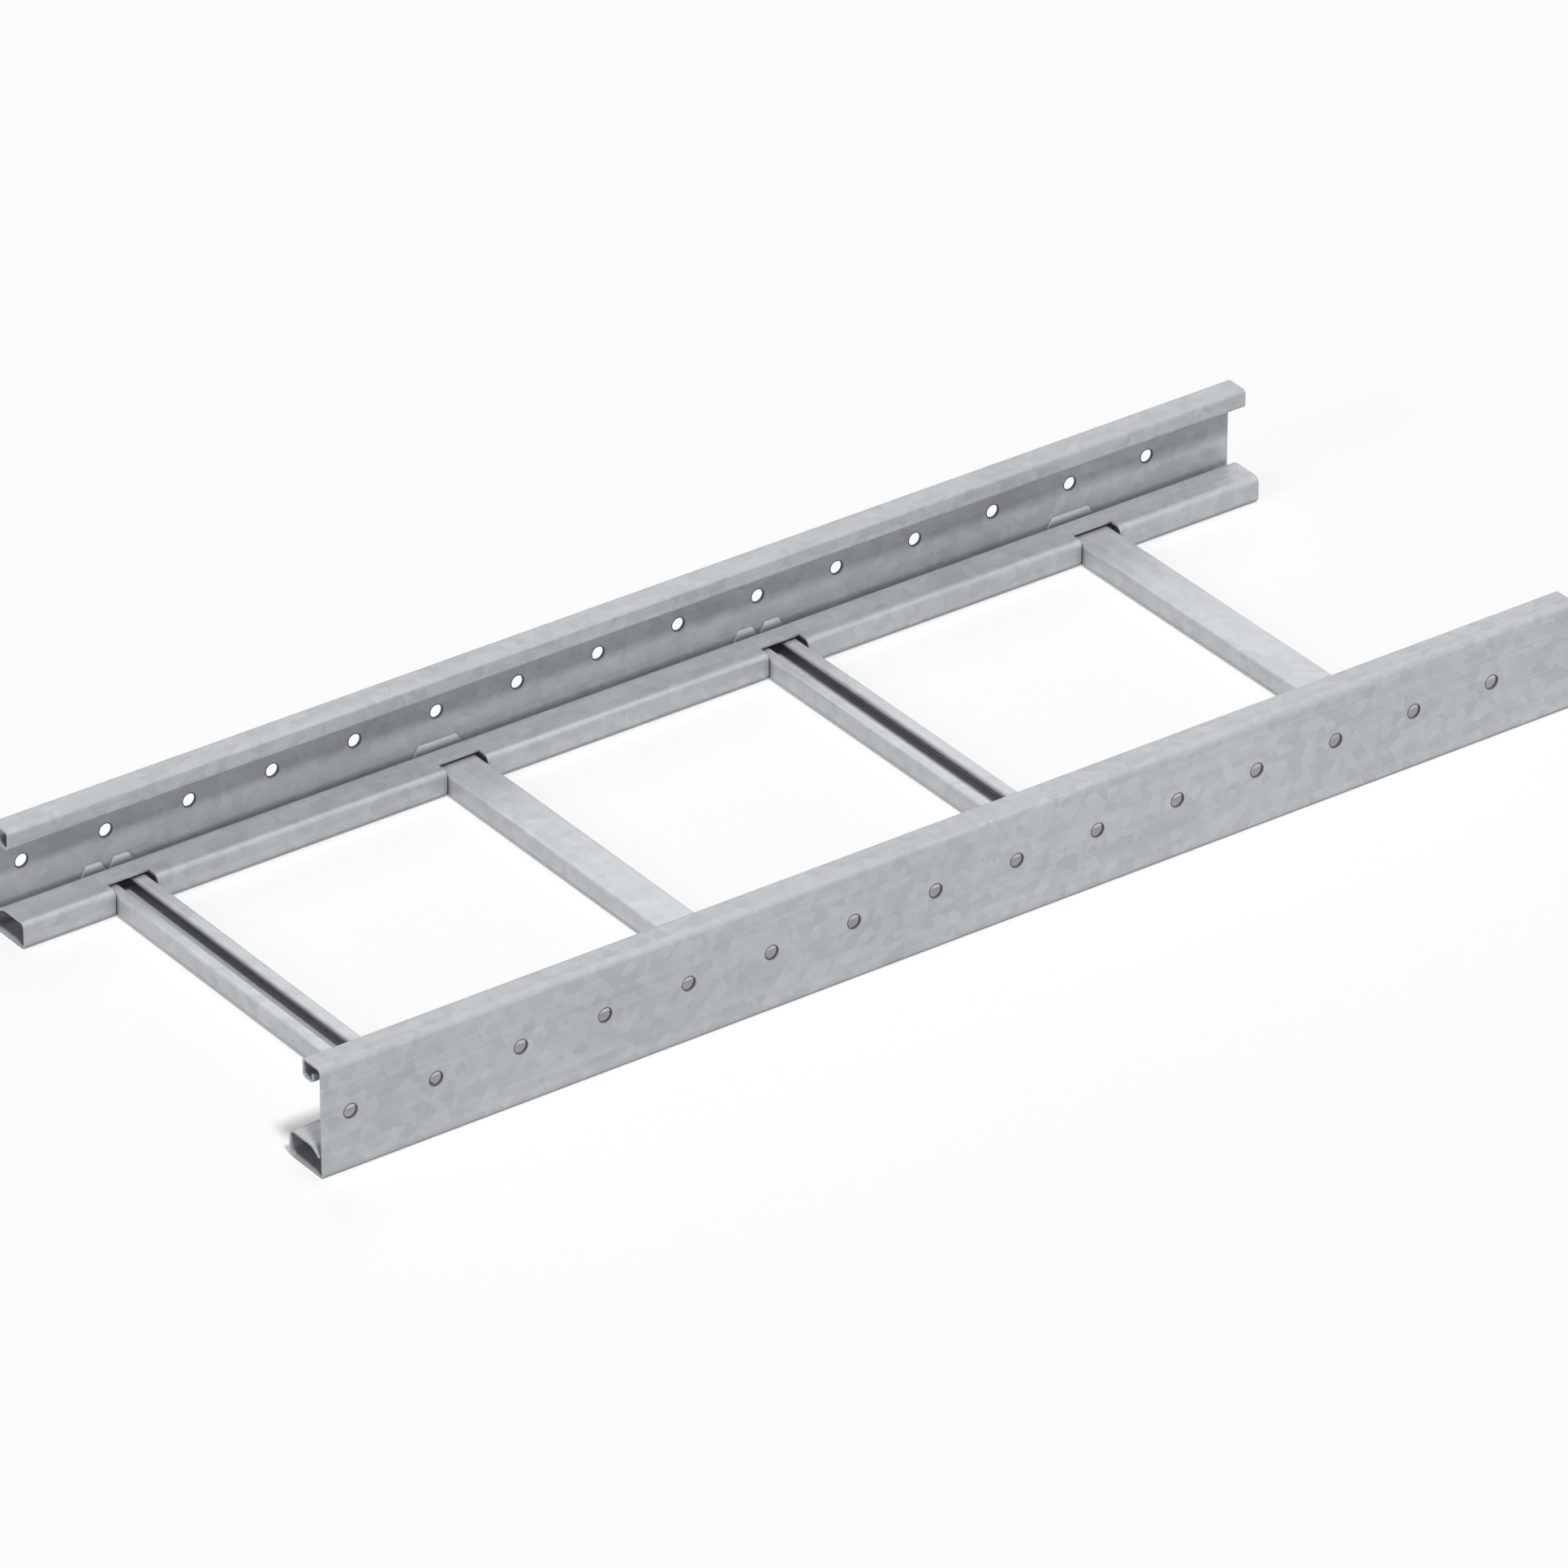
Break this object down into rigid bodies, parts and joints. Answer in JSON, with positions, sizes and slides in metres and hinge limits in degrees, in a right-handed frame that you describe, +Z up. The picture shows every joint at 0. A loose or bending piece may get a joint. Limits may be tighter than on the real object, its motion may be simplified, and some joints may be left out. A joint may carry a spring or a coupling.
{
  "type": "cable ladder section",
  "caption": "Straight section of steel cable ladder: two roll-formed side rails with a row of round web holes, joined by channel rungs set alternately slot up and slot down.",
  "frame": {"origin": "middle of the underside of the section's box, on the face it rests on", "axes": "+X along the side rails, +Y across the ladder from the front rail to the rear rail, +Z up out of the trough"},
  "size_m": [1.155, 0.436, 0.093],
  "materials": {
    "galvanised_steel": "zinc-coated, matt to satin"
  },
  "bodies": {
    "root": {"side_rail_front": "galvanised_steel", "side_rail_rear": "galvanised_steel", "rung_1": "galvanised_steel", "rung_2": "galvanised_steel", "rung_3": "galvanised_steel", "rung_4": "galvanised_steel"}
  },
  "joints": []
}
